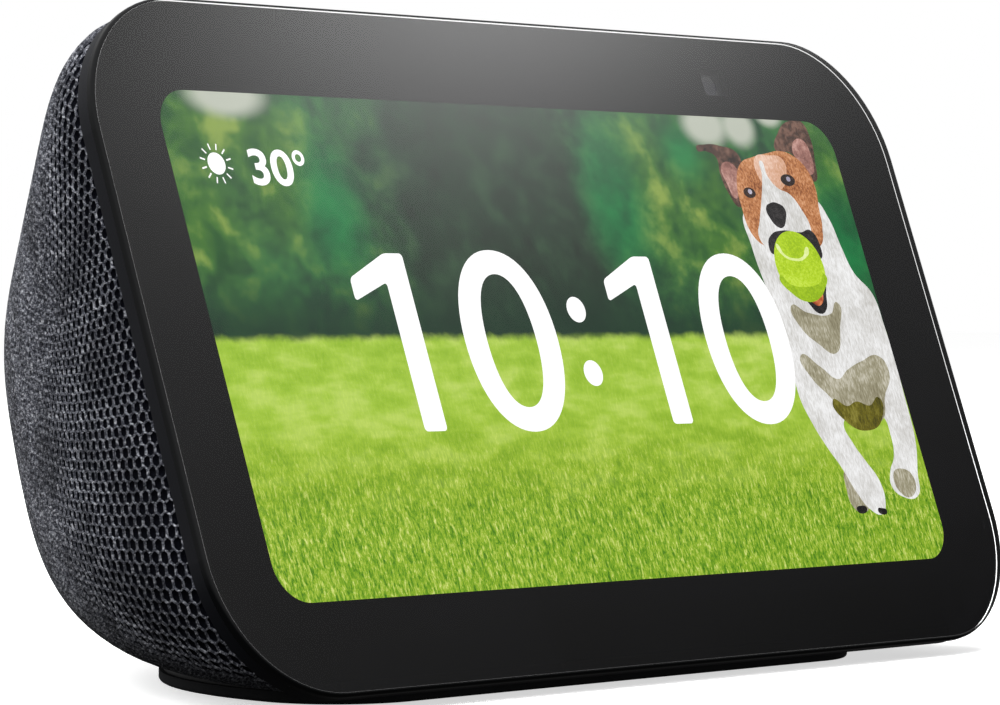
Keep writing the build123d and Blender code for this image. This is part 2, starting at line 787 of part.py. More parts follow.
cone_low = magnet_back + 4.0                          # where the cone meets the coil
cone_high = flange_back_y - 0.6
with BuildPart() as speaker_voice_coil:
    y0 = magnet_back - plate_t - 1.6
    add(turned([(coil_r, y0), (coil_out, y0), (coil_out, cone_low), (coil_r, cone_low)]))
save(speaker_voice_coil, "speaker_voice_coil")

with BuildPart() as speaker_cone:
    add(
        turned(
            [
                (coil_r, cone_low),
                (coil_out + 0.5, cone_low),
                (cone_r, cone_high - cone_t),
                (cone_r, cone_high),
                (cone_r - cone_t, cone_high),
                (coil_out, cone_low + cone_t),
                (coil_r, cone_low + cone_t),
            ]
        )
    )
save(speaker_cone, "speaker_cone")

with BuildPart() as speaker_dust_cap:
    cap_y = cone_low + cone_t
    add(turned([(0, cap_y), (coil_out, cap_y), (0.7 * coil_out, cap_y + 1.3), (0, cap_y + 2.0)]))
save(speaker_dust_cap, "speaker_dust_cap")

with BuildPart() as speaker_surround:
    a = cone_r + 0.3
    b = cone_r + surround_w
    y1 = flange_back_y
    add(turned([(a, y1 - 0.8), (a, y1 - 0.3), (a + 0.5, y1), (b - 0.1, y1), (b - 0.1, y1 - 0.8)]))
save(speaker_surround, "speaker_surround")

with BuildPart() as speaker_spider:
    a = coil_out + 0.3
    b = magnet_r - 0.4
    y1 = magnet_back + 1.6
    add(turned([(a, y1), (b, y1), (b, y1 + 0.4), (a, y1 + 0.4)]))
save(speaker_spider, "speaker_spider")

with BuildPart() as speaker_gasket:
    y1 = flange_y
    a = speaker_r - 3.0
    add(turned([(a + 1.8, y1 - gasket_t), (speaker_r, y1 - gasket_t), (speaker_r, y1), (a + 1.8, y1)]))
    with BuildSketch(Plane.XZ.offset(-(flange_y - 2))):
        with Locations((0, speaker_z)):
            with PolarLocations(speaker_r - 1.6, 4, 0):
                Circle(screw_r + 0.05)
    extrude(amount=-4, mode=Mode.SUBTRACT)
save(speaker_gasket, "speaker_gasket")

with BuildPart() as speaker_box:
    with BuildSketch(Plane.XZ.offset(-box_y1)):
        with Locations((0, speaker_z)):
            RectangleRounded(box_w, box_h, 8)
    extrude(amount=box_depth)
    with BuildSketch(Plane.XZ.offset(-(box_y1 - box_t))):
        with Locations((0, speaker_z)):
            RectangleRounded(box_w - 2 * box_t, box_h - 2 * box_t, 8 - box_t)
    extrude(amount=box_depth - 2 * box_t, mode=Mode.SUBTRACT)
    with BuildSketch(Plane.XZ.offset(-box_y1)):
        with Locations((0, speaker_z)):
            Circle(cone_r + surround_w + 1.6 + fit_gap)
    extrude(amount=box_t + 0.1, mode=Mode.SUBTRACT)
    with BuildSketch(Plane.XZ.offset(-box_y1)):
        with Locations((0, speaker_z)):
            with PolarLocations(speaker_r - 1.6, 4, 0):
                Circle(screw_r)
    extrude(amount=box_t, mode=Mode.SUBTRACT)
save(speaker_box, "speaker_box")

speaker_screw_places = [
    Plane(
        origin=(
            (speaker_r - 1.6) * cos(radians(a)),
            flange_back_y,
            speaker_z + (speaker_r - 1.6) * sin(radians(a)),
        ),
        x_dir=(1, 0, 0),
        z_dir=(0, 1, 0),
    )
    for a in (0, 90, 180, 270)
]
speaker_screws = screws(speaker_screw_places, speaker_flange_t + gasket_t + box_t - 0.3)
save(speaker_screws, "speaker_screws")

# ---------------------------------------------------------------- power jack
nose_r = jack_bore_r + 1.0
with BuildPart() as power_jack:
    with BuildSketch(Plane.XZ.offset(-(well_y - well_wall - 0.05))):
        with Locations((0, jack_z)):
            RectangleRounded(jack_w, jack_h, 0.8)
    extrude(amount=jack_depth)
    with BuildSketch(Plane.XZ.offset(-well_y)):
        with Locations((0, jack_z)):
            Circle(nose_r)
    extrude(amount=well_wall + 0.5)
    with BuildSketch(Plane.XZ.offset(-well_y)):
        with Locations((0, jack_z)):
            Circle(jack_bore_r)
    extrude(amount=jack_bore, mode=Mode.SUBTRACT)
    with BuildSketch(Plane.XZ.offset(-(well_y - jack_bore))):
        with Locations((0, jack_z)):
            Circle(jack_inner_r)
    extrude(amount=jack_inner, mode=Mode.SUBTRACT)
save(power_jack, "power_jack")

with BuildPart() as power_pin:
    with BuildSketch(Plane.XZ.offset(-(well_y - jack_bore - jack_inner))):
        with Locations((0, jack_z)):
            Circle(jack_pin_r)
    extrude(amount=-(jack_inner - 0.5))
save(power_pin, "power_pin")

# ---------------------------------------------------------------- leads
def lead(points, spread):
    """Pair of insulated wires that run side by side along straight runs joined by arcs."""
    with BuildPart() as pair:
        for side in (-1, 1):
            shifted = [(x + side * spread, y, z) for x, y, z in points]
            with BuildLine() as path:
                FilletPolyline(*shifted, radius=lead_bend)
            start = path.line @ 0
            along = path.line % 0
            with BuildSketch(Plane(origin=start, z_dir=along)) as section:
                Circle(lead_r)
            sweep(section.sketch, path=path.line)
    return pair.part


plug_plane = face(main_back_d + 1.6 + lead_gap, -18)
power_plug = plug_plane.from_local_coords((24, 0))
speaker_plug = plug_plane.from_local_coords((10, 0))
jack_face_y = well_y - well_wall - 0.05 - jack_depth - lead_gap

with BuildPart() as power_lead:
    route = [
        (0, jack_face_y, jack_z),
        (0, jack_face_y - 14, jack_z - 2),
        (14, power_plug.Y + 14, jack_z - 1),
        (24, power_plug.Y + 6, power_plug.Z - 3),
        (24, power_plug.Y, power_plug.Z),
    ]
    add(lead(route, lead_r + 0.1))
save(power_lead, "power_lead")

with BuildPart() as speaker_lead:
    box_front_y = box_y1 - box_depth - lead_gap
    route = [
        (16, box_front_y, speaker_z - 12),
        (16, box_front_y - 5, speaker_z - 12),
        (10, speaker_plug.Y + 5, speaker_plug.Z),
        (10, speaker_plug.Y, speaker_plug.Z),
    ]
    add(lead(route, lead_r + 0.1))
save(speaker_lead, "speaker_lead")

print(len(made), "nodes")
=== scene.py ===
"""Smart display: finishes, screen picture, knitted cover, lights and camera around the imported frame."""

import json
import math

import bmesh
import bpy
from mathutils import Matrix, Vector, noise
from mathutils.bvhtree import BVHTree


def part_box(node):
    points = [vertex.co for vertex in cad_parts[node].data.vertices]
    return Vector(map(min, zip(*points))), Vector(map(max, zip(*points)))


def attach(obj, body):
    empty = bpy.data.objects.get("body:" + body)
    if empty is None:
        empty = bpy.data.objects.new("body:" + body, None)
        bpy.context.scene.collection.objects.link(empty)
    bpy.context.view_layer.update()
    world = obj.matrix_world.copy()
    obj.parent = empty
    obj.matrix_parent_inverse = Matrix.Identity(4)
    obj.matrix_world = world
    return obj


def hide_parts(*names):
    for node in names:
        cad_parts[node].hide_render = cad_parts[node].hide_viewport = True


MM = 0.001
TILT = math.radians(20.0)
ACROSS = Vector((1.0, 0.0, 0.0))
UP_SLOPE = Vector((0.0, math.sin(TILT), math.cos(TILT)))
OUT = Vector((0.0, -math.cos(TILT), math.sin(TILT)))

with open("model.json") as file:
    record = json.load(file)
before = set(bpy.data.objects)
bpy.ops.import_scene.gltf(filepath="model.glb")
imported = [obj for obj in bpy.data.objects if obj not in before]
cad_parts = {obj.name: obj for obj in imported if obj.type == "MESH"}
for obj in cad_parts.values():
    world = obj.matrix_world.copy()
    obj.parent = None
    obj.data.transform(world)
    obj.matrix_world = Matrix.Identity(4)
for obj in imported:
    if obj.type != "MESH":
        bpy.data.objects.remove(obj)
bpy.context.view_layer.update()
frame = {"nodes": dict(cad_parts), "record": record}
nodes = frame["nodes"]

print_low, print_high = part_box("border_mask")
GLASS_FRONT = (print_low + print_high) / 2 + OUT * 1.05 * MM


def on_face(x, u, depth):
    """Point behind the glass's front, from its middle: across, up the slope and inwards, in mm."""
    return GLASS_FRONT + (ACROSS * x + UP_SLOPE * u - OUT * depth) * MM


def colour(code):
    """Linear colour from a hex code, for a shader's socket."""
    channels = [int(code[i:i + 2], 16) / 255 for i in (1, 3, 5)]
    linear = [c / 12.92 if c <= 0.04045 else ((c + 0.055) / 1.055) ** 2.4 for c in channels]
    return (linear[0], linear[1], linear[2], 1.0)


# ---------------------------------------------------------------- materials
class Finish:
    """One procedural material, with short ways to add its nodes."""

    def __init__(self, name):
        self.material = bpy.data.materials.new(name)
        self.material.use_nodes = True
        self.tree = self.material.node_tree
        self.shader = self.tree.nodes["Principled BSDF"]
        self.place = self.tree.nodes.new("ShaderNodeTexCoord").outputs["Object"]

    def put(self, value, socket):
        if isinstance(value, bpy.types.NodeSocket):
            self.tree.links.new(value, socket)
        else:
            socket.default_value = value

    def shade(self, **values):
        for name, value in values.items():
            self.put(value, self.shader.inputs[name.replace("_", " ")])

    def moved(self, vector=None, scale=(1, 1, 1), turn=(0, 0, 0), shift=(0, 0, 0)):
        node = self.tree.nodes.new("ShaderNodeMapping")
        self.put(vector or self.place, node.inputs["Vector"])
        node.inputs["Scale"].default_value = scale
        node.inputs["Rotation"].default_value = turn
        node.inputs["Location"].default_value = shift
        return node.outputs["Vector"]

    def noise(self, scale, detail=2.0, vector=None, rough=0.5, out="Fac", twist=0.0):
        node = self.tree.nodes.new("ShaderNodeTexNoise")
        self.put(vector or self.place, node.inputs["Vector"])
        node.inputs["Scale"].default_value = scale
        node.inputs["Detail"].default_value = detail
        node.inputs["Roughness"].default_value = rough
        node.inputs["Distortion"].default_value = twist
        return node.outputs[out]

    def cells(self, scale, vector=None, feature="F1", out="Distance", spread=1.0):
        node = self.tree.nodes.new("ShaderNodeTexVoronoi")
        node.feature = feature
        self.put(vector or self.place, node.inputs["Vector"])
        node.inputs["Scale"].default_value = scale
        node.inputs["Randomness"].default_value = spread
        return node.outputs[out]

    def ramp(self, value, stops, smooth=False):
        node = self.tree.nodes.new("ShaderNodeValToRGB")
        self.put(value, node.inputs["Fac"])
        node.color_ramp.interpolation = "EASE" if smooth else "LINEAR"
        points = node.color_ramp.elements
        while len(points) < len(stops):
            points.new(0.5)
        for point, (position, code) in zip(points, stops):
            point.position = position
        for point, (position, code) in zip(points, stops):
            point.color = colour(code) if isinstance(code, str) else (code, code, code, 1.0)
        return node.outputs["Color"]

    def math(self, operation, a, b=0.0, c=0.0):
        node = self.tree.nodes.new("ShaderNodeMath")
        node.operation = operation
        self.put(a, node.inputs[0])
        self.put(b, node.inputs[1])
        self.put(c, node.inputs[2])
        return node.outputs[0]

    def between(self, value, low, high, to_low=0.0, to_high=1.0):
        node = self.tree.nodes.new("ShaderNodeMapRange")
        node.interpolation_type = "SMOOTHSTEP"
        self.put(value, node.inputs["Value"])
        node.inputs["From Min"].default_value = low
        node.inputs["From Max"].default_value = high
        node.inputs["To Min"].default_value = to_low
        node.inputs["To Max"].default_value = to_high
        return node.outputs["Result"]

    def mix(self, share, a, b, kind="MIX"):
        node = self.tree.nodes.new("ShaderNodeMix")
        node.data_type = "RGBA"
        node.blend_type = kind
        self.put(share, node.inputs["Factor"])
        self.put(colour(a) if isinstance(a, str) else a, node.inputs[6])
        self.put(colour(b) if isinstance(b, str) else b, node.inputs[7])
        return node.outputs[2]

    def apart(self, vector):
        node = self.tree.nodes.new("ShaderNodeSeparateXYZ")
        self.put(vector, node.inputs[0])
        return node.outputs

    def bump(self, height, strength, distance):
        node = self.tree.nodes.new("ShaderNodeBump")
        node.inputs["Strength"].default_value = strength
        node.inputs["Distance"].default_value = distance
        self.put(height, node.inputs["Height"])
        self.put(node.outputs["Normal"], self.shader.inputs["Normal"])


def moulded(name, dark, light, rough, grain=2600.0, depth=0.00004, patch=45.0, metal=0.0, stretch=(1, 1, 1)):
    """A plain solid finish: slow colour and gloss drift with a fine grain pressed into it."""
    made = Finish(name)
    drift = made.noise(patch, 3.0)
    fine = made.noise(grain, 3.0, vector=made.moved(scale=stretch))
    tone = made.mix(made.between(drift, 0.35, 0.65), dark, light)
    made.shade(Base_Color=tone, Metallic=metal)
    gloss = made.math("ADD", made.math("MULTIPLY", drift, 0.14), made.math("MULTIPLY", fine, 0.10))
    made.shade(Roughness=made.math("ADD", gloss, rough - 0.12))
    made.bump(fine, 0.45, depth)
    return made


def clear_glass():
    """Glass bonded to what is behind it: clear, with gloss on its outer side only, and dark at its rim."""
    made = Finish("clear_glass")
    smear = made.noise(60.0, 4.0, rough=0.6, twist=0.8)
    facing = made.tree.nodes.new("ShaderNodeVectorMath")
    facing.operation = "DOT_PRODUCT"
    made.put(made.place.node.outputs["Normal"], facing.inputs[0])
    facing.inputs[1].default_value = OUT
    rim = made.between(made.math("ABSOLUTE", facing.outputs["Value"]), 0.999, 0.985)
    made.shade(Base_Color=made.mix(rim, "#ffffff", "#0a0b0c"), Metallic=made.math("SUBTRACT", 1.0, rim))
    made.shade(Roughness=made.between(smear, 0.45, 0.85, 0.0, 0.03))
    gloss = made.tree.nodes.new("ShaderNodeFresnel")
    gloss.inputs["IOR"].default_value = 1.5
    side = made.tree.nodes.new("ShaderNodeNewGeometry")
    share = made.math("MULTIPLY", gloss.outputs[0], made.math("SUBTRACT", 1.0, side.outputs["Backfacing"]))
    clear = made.tree.nodes.new("ShaderNodeBsdfTransparent")
    blend = made.tree.nodes.new("ShaderNodeMixShader")
    made.put(made.math("MAXIMUM", share, rim), blend.inputs["Fac"])
    made.put(clear.outputs[0], blend.inputs[1])
    made.put(made.shader.outputs[0], blend.inputs[2])
    made.put(blend.outputs[0], made.tree.nodes["Material Output"].inputs["Surface"])
    return made.material


def black_print():
    """Ink on the glass's back: it takes light but shows no gloss of its own."""
    made = moulded("black_print", "#060607", "#09090b", 0.6, depth=0.00001)
    made.shade(Specular_IOR_Level=0.0)
    return made.material


def screen_place(made):
    """Distance across and up the slope from the middle of the screen, in mm."""
    turn = -(math.pi / 2 - TILT)
    middle = Matrix.Rotation(turn, 3, "X") @ GLASS_FRONT
    return made.moved(scale=(1000, 1000, 1000), turn=(turn, 0, 0), shift=tuple(-middle * 1000))


def spot(made, x, u, centre, size, soft=0.6):
    """1 inside an oval on the screen, fading to 0 at its edge."""
    dx = made.math("DIVIDE", made.math("SUBTRACT", x, centre[0]), size[0])
    du = made.math("DIVIDE", made.math("SUBTRACT", u, centre[1]), size[1])
    far = made.math("SQRT", made.math("ADD", made.math("MULTIPLY", dx, dx), made.math("MULTIPLY", du, du)))
    return made.between(far, 1.0 - soft, 1.0 + soft * 0.4, 1.0, 0.0)


def lit_screen():
    """The garden behind the clock: soft trees over a lawn that sharpens towards the bottom."""
    made = Finish("lit_screen")
    place = screen_place(made)
    x, u, out = made.apart(place)
    wobble = made.noise(0.16, 2.0, vector=place, twist=0.4)
    leaves = made.noise(0.42, 3.0, vector=place, rough=0.55)
    both = made.math("ADD", made.math("MULTIPLY", wobble, 0.65), made.math("MULTIPLY", leaves, 0.35))
    trees = made.ramp(both, [(0.30, "#0c2c1a"), (0.44, "#1d4a2c"), (0.56, "#2f6a35"), (0.70, "#5f8a3c")])
    deep = made.ramp(both, [(0.34, "#16261a"), (0.50, "#1e3524"), (0.66, "#2d4a31")])
    trees = made.mix(spot(made, x, u, (-9, 14), (27, 34), 0.5), trees, deep)
    glow = made.ramp(both, [(0.38, "#1d5a1a"), (0.52, "#46761f"), (0.66, "#8fa445")])
    for centre, size in (
        ((-60, 15), (9, 9)),
        ((-46, 20), (7, 9)),
        ((-56, 27), (14, 6)),
        ((22, 19), (9, 12)),
        ((33, 21), (7, 12)),
        ((34, 11), (9, 6)),
        ((59, 24), (6, 9)),
    ):
        trees = made.mix(made.math("MULTIPLY", spot(made, x, u, centre, size, 0.9), 0.75), trees, glow)
    vivid = made.ramp(both, [(0.30, "#00522a"), (0.60, "#04793c")])
    for centre, size in (((-38, 17), (6, 9)), ((14, 19), (7, 12)), ((58, 13), (8, 11)), ((30, 26), (5, 5))):
        trees = made.mix(made.math("MULTIPLY", spot(made, x, u, centre, size, 0.8), 0.95), trees, vivid)
    gaps = (((-51, 31), (7, 3.2)), ((36, 30), (5, 3.4)), ((43, 30), (3.6, 3.2)), ((50, 32), (3, 2)))
    for centre, size in gaps:
        trees = made.mix(spot(made, x, u, centre, size, 0.5), trees, "#b7bcae")
    foot = made.between(u, 1.0, 11.0, 1.0, 0.0)
    trees = made.mix(made.math("MULTIPLY", foot, 0.85), trees, "#12301f")
    clump = made.noise(0.30, 3.0, vector=made.moved(place, scale=(0.55, 1.5, 1)))
    lawn = made.ramp(clump, [(0.34, "#93ba2c"), (0.50, "#a5c840"), (0.66, "#bcd661")])
    lower = made.ramp(clump, [(0.34, "#76990c"), (0.50, "#96b51c"), (0.66, "#b2cb45")])
    lawn = made.mix(made.between(u, -6.0, -24.0), lawn, lower)
    blades = made.noise(1.3, 5.0, vector=made.moved(place, scale=(2.2, 0.6, 1)), rough=0.8, twist=0.5)
    sharp = made.ramp(blades, [(0.34, "#1f5f0a"), (0.45, "#5f9412"), (0.55, "#9dbb30"), (0.66, "#e2e88f")])
    near = made.between(u, -9.0, -25.0, 0.12, 0.92)
    lawn = made.mix(near, lawn, sharp)
    edge = made.math("ADD", u, made.math("MULTIPLY", leaves, 1.4))
    picture = made.mix(made.between(edge, 0.5, 1.9, 0.0, 1.0), lawn, trees)
    picture = made.mix(made.between(out, -1.6, -1.3), "#08090a", picture)
    side = made.math("MAXIMUM", made.math("SUBTRACT", made.math("ABSOLUTE", x), 57.58), 0.0)
    rise = made.math("MAXIMUM", made.math("SUBTRACT", made.math("ABSOLUTE", u), 26.34), 0.0)
    corner = made.math("ADD", made.math("MULTIPLY", side, side), made.math("MULTIPLY", rise, rise))
    picture = made.mix(made.math("LESS_THAN", corner, 24.0), "#020203", picture)
    made.shade(Base_Color=colour("#020203"), Roughness=0.6, Specular_IOR_Level=0.0)
    made.shade(Emission_Color=picture, Emission_Strength=1.08)
    made.bump(made.noise(3000.0, 1.0), 0.1, 0.00001)
    return made.material


def knit_yarn():
    """Charcoal heather yarn: grey and black fibres twisted together."""
    made = Finish("knit_yarn")
    heather = made.noise(2600.0, 3.0, rough=0.7)
    patch = made.noise(130.0, 3.0, rough=0.6)
    strands = made.ramp(heather, [(0.36, "#1c1d24"), (0.49, "#50525b"), (0.58, "#94969e"), (0.68, "#dcdde4")])
    tone = made.mix(made.between(patch, 0.35, 0.68), strands, "#2d2f35", "MULTIPLY")
    tone = made.mix(0.55, strands, tone)
    made.shade(Base_Color=tone, Roughness=made.between(heather, 0.3, 0.7, 0.78, 0.95))
    made.shade(Sheen_Weight=0.08, Sheen_Roughness=0.4, Specular_IOR_Level=0.25)
    made.bump(made.noise(7000.0, 3.0, rough=0.7), 0.7, 0.00008)
    return made.material


def knit_depth():
    """The dark ground under the knit's open cells."""
    made = Finish("knit_depth")
    fluff = made.noise(4200.0, 3.0, rough=0.7)
    tone = made.ramp(fluff, [(0.40, "#05060a"), (0.58, "#0a0b11"), (0.76, "#1b1d24")])
    made.shade(Base_Color=tone, Roughness=0.95, Specular_IOR_Level=0.1)
    made.bump(fluff, 0.6, 0.00008)
    return made.material


def circuit_board():
    made = Finish("circuit_board")
    lanes = made.cells(700.0, feature="DISTANCE_TO_EDGE", spread=0.85)
    pads = made.cells(420.0)
    mask = made.mix(made.between(lanes, 0.02, 0.06), "#1d6a3c", "#0c3f22")
    mask = made.mix(made.between(pads, 0.14, 0.10), mask, "#c9b06a")
    made.shade(Base_Color=mask, Roughness=made.between(lanes, 0.0, 0.3, 0.30, 0.42))
    made.bump(lanes, 0.35, 0.00003)
    return made.material


def wound_copper():
    made = Finish("copper")
    turns = made.noise(5200.0, 1.0, vector=made.moved(scale=(0.02, 1, 0.02)))
    made.shade(Base_Color=made.ramp(turns, [(0.35, "#7d3d1c"), (0.65, "#d98a54")]), Metallic=1.0)
    made.shade(Roughness=made.between(turns, 0.3, 0.7, 0.25, 0.42))
    made.bump(turns, 0.8, 0.00008)
    return made.material


def lens_glass():
    made = Finish("lens_glass")
    coat = made.noise(500.0, 1.0)
    made.shade(Base_Color=made.mix(coat, "#06070d", "#151128"), Roughness=0.12, Specular_IOR_Level=0.15)
    made.bump(made.noise(120.0, 1.0), 0.05, 0.00001)
    return made.material


def light_guide():
    made = moulded("light_guide", "#d9dde0", "#eef0f1", 0.35, grain=900.0, depth=0.00002)
    return made.material


def paper_cone():
    made = Finish("paper")
    fibres = made.noise(1500.0, 4.0, vector=made.moved(scale=(1, 0.4, 1)), rough=0.75, twist=0.5)
    made.shade(Base_Color=made.ramp(fibres, [(0.3, "#141416"), (0.5, "#232325"), (0.72, "#3c3c3f")]))
    made.shade(Roughness=made.between(fibres, 0.3, 0.7, 0.75, 0.92))
    made.bump(fibres, 0.7, 0.0001)
    return made.material


def soft_foam():
    made = Finish("soft_foam")
    pores = made.cells(2600.0)
    made.shade(Base_Color=made.ramp(pores, [(0.1, "#0f1012"), (0.5, "#333438")]), Roughness=0.96)
    made.bump(pores, 0.8, 0.00012)
    return made.material


finishes = {
    "clear_glass": clear_glass(),
    "black_print": black_print(),
    "tape": moulded("tape", "#0a0a0b", "#141416", 0.62, grain=1800.0).material,
    "lit_screen": lit_screen(),
    "light_guide": light_guide(),
    "dark_plastic": moulded("dark_plastic", "#101115", "#17181c", 0.42, grain=3600.0, depth=0.00003).material,
    "knit_fabric": knit_yarn(),
    "foot_rubber": moulded("foot_rubber", "#17181b", "#212226", 0.74, grain=2100.0, depth=0.00006).material,
    "circuit_board": circuit_board(),
    "steel": moulded(
        "steel", "#9a9da1", "#c3c5c8", 0.30, 1400.0, 0.00002, 70.0, 1.0, (1, 1, 0.12),
    ).material,
    "aluminium": moulded(
        "aluminium", "#b9bcc0", "#d6d8da", 0.34, 1800.0, 0.00002, 60.0, 1.0, (0.1, 1, 1),
    ).material,
    "black_steel": moulded("black_steel", "#0c0c0e", "#1a1a1d", 0.48, grain=900.0, metal=0.4).material,
    "ferrite": moulded(
        "ferrite", "#1b1b1d", "#333335", 0.62, grain=1500.0, depth=0.00008, metal=0.2,
    ).material,
    "copper": wound_copper(),
    "paper": paper_cone(),
    "soft_foam": soft_foam(),
    "flex": moulded("flex", "#7a4312", "#a4601f", 0.38, grain=1200.0, metal=0.1).material,
    "white_plastic": moulded("white_plastic", "#d2d3d1", "#e9e9e6", 0.44, grain=2400.0).material,
    "lens_glass": lens_glass(),
}
for part in frame["record"]["subparts"]:
    shown = nodes[part["node"]]
    shown.data.materials.clear()
    shown.data.materials.append(finishes[part["material_slot"]])


# ---------------------------------------------------------------- pieces
def piece(name, mesh, materials, body="housing"):
    """A finished mesh that rides on a body and takes the finishes it is given."""
    made = bpy.data.objects.new(name, mesh)
    bpy.context.scene.collection.objects.link(made)
    for material in materials:
        mesh.materials.append(material)
    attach(made, body)
    return made


def mesh_of(name, bm, smooth=False):
    """The finished mesh of a bmesh."""
    for face in bm.faces:
        face.smooth = smooth
    mesh = bpy.data.meshes.new(name)
    bm.to_mesh(mesh)
    bm.free()
    return mesh


def oval(x, u, across, up, fullness=0.5523):
    """Knots of a closed oval; fullness 0.5523 is a true ellipse and more is squarer."""
    hx = across * fullness
    hu = up * fullness
    return [
        (x + across, u, 0.0, hu),
        (x, u + up, -hx, 0.0),
        (x - across, u, 0.0, -hu),
        (x, u - up, hx, 0.0),
    ]


def flat_shape(name, loops, depth, material, steps=8):
    """A flat piece on the screen from closed loops in mm; a loop inside another is a hole."""
    curve = bpy.data.curves.new(name, "CURVE")
    curve.dimensions = "2D"
    curve.fill_mode = "BOTH"
    curve.resolution_u = steps
    for loop in loops:
        spline = curve.splines.new("BEZIER")
        spline.bezier_points.add(len(loop) - 1)
        for knot, place in zip(spline.bezier_points, loop):
            knot.co = (place[0], place[1], 0.0)
            if len(place) == 4:
                knot.handle_left_type = "FREE"
                knot.handle_right_type = "FREE"
                knot.handle_left = (place[0] - place[2], place[1] - place[3], 0.0)
                knot.handle_right = (place[0] + place[2], place[1] + place[3], 0.0)
            else:
                knot.handle_left_type = "AUTO"
                knot.handle_right_type = "AUTO"
        spline.use_cyclic_u = True
    return flat_piece(name, curve, depth, material)


def flat_piece(name, curve, depth, material):
    """Turns a flat curve or text, in mm on the screen, into a piece at that depth behind the glass."""
    drawn = bpy.data.objects.new(name + "_outline", curve)
    bpy.context.scene.collection.objects.link(drawn)
    bpy.context.view_layer.update()
    graph = bpy.context.evaluated_depsgraph_get()
    mesh = bpy.data.meshes.new_from_object(drawn.evaluated_get(graph))
    bpy.data.objects.remove(drawn)
    mesh.name = name
    mesh.materials.clear()
    turn = Matrix((ACROSS, UP_SLOPE, OUT)).transposed().to_4x4()
    mesh.transform(Matrix.Translation(on_face(0, 0, depth)) @ turn @ Matrix.Scale(MM, 4))
    if mesh.polygons[0].normal.dot(OUT) < 0:
        mesh.flip_normals()
    return piece(name, mesh, [material])


def lit(name, dark, mid, light, scale=1.2, stretch=(1, 1, 1), strength=1.05, patch=0.25):
    """A lit part of the picture: fine streaks over a slow drift of tone."""
    made = Finish(name)
    place = screen_place(made)
    streak = made.noise(scale, 4.0, vector=made.moved(place, scale=stretch), rough=0.6, twist=0.3)
    drift = made.noise(patch, 2.0, vector=place)
    both = made.math("ADD", made.math("MULTIPLY", streak, 0.6), made.math("MULTIPLY", drift, 0.4))
    made.shade(Base_Color=colour("#020202"), Roughness=0.6, Specular_IOR_Level=0.0)
    made.shade(Emission_Strength=strength)
    made.shade(Emission_Color=made.ramp(both, [(0.36, dark), (0.50, mid), (0.62, light)]))
    made.bump(made.noise(3000.0, 1.0), 0.1, 0.00001)
    return made


white_light = lit("white_light", "#fdfdfd", "#ffffff", "#ffffff", strength=1.15).material


# ---------------------------------------------------------------- clock and weather
def digit_one(x):
    """Outline of the figure 1 with its stem's right side at x."""
    bm = bmesh.new()
    outline = (
        (x - 9.9, 8.0), (x - 3.2, 11.2), (x, 11.2), (x, -11.35),
        (x - 3.85, -11.35), (x - 3.85, 7.5), (x - 9.9, 5.1),
    )
    corners = [bm.verts.new(on_face(cx, cu, 1.03)) for cx, cu in reversed(outline)]
    bm.faces.new(corners)
    bmesh.ops.bevel(
        bm, geom=bm.verts[:], offset=0.55 * MM, offset_type="OFFSET", segments=4, profile=0.5,
        affect="VERTICES", material=-1,
    )
    return bm


for name, x in (("clock_one_left", -28.2), ("clock_one_right", 17.15)):
    bm = digit_one(x)
    bmesh.ops.recalc_face_normals(bm, faces=bm.faces[:])
    if sum((f.normal for f in bm.faces), Vector()).dot(OUT) < 0:
        bmesh.ops.reverse_faces(bm, faces=bm.faces[:])
    piece(name, mesh_of(name, bm), [white_light])

for name, x in (("clock_zero_left", -12.7), ("clock_zero_right", 32.5)):
    loops = [oval(x, 0.0, 8.4, 11.8, 0.60), oval(x, 0.0, 4.45, 8.65, 0.62)]
    flat_shape(name, loops, 1.03, white_light, steps=16)
flat_shape("clock_colon", [oval(0.6, 4.0, 1.7, 1.7), oval(0.6, -4.4, 1.7, 1.7)], 1.03, white_light)

rays = [oval(-55.2, 22.1, 1.38, 1.38)]
for i in range(12):
    angle = math.radians(15 + 30 * i)
    rays.append(
        [
            (
                -55.2 + r * math.cos(angle) + w * math.sin(angle),
                22.1 + r * math.sin(angle) - w * math.cos(angle),
                0,
                0,
            )
            for r, w in ((1.75, -0.10), (2.55, -0.10), (2.55, 0.10), (1.75, 0.10))
        ]
    )
flat_shape("sun_mark", rays, 1.03, white_light)

text = bpy.data.curves.new("temperature", "FONT")
text.body = "30"
text.size = 6.1
text.offset = 0.13
text.resolution_u = 6
drawn = bpy.data.objects.new("temperature_outline", text)
bpy.context.scene.collection.objects.link(drawn)
bpy.context.view_layer.update()
number = bpy.data.meshes.new_from_object(drawn.evaluated_get(bpy.context.evaluated_depsgraph_get()))
bpy.data.objects.remove(drawn)
number.name = "temperature"
reach = [v.co.x for v in number.vertices]
rise = [v.co.y for v in number.vertices]
fit = Matrix.Diagonal((7.0 / (max(reach) - min(reach)), 4.65 / (max(rise) - min(rise)), 1.0, 1.0))
number.transform(fit @ Matrix.Translation((-min(reach), -min(rise), 0)))
number.transform(Matrix.Translation((-49.9, 19.5, 0)))
turn = Matrix((ACROSS, UP_SLOPE, OUT)).transposed().to_4x4()
number.transform(Matrix.Translation(on_face(0, 0, 1.03)) @ turn @ Matrix.Scale(MM, 4))
number.materials.clear()
if number.polygons[0].normal.dot(OUT) < 0:
    number.flip_normals()
piece("temperature", number, [white_light])
flat_shape("degree_mark", [oval(-41.6, 23.15, 1.0, 1.0), oval(-41.6, 23.15, 0.5, 0.5)], 1.03, white_light)

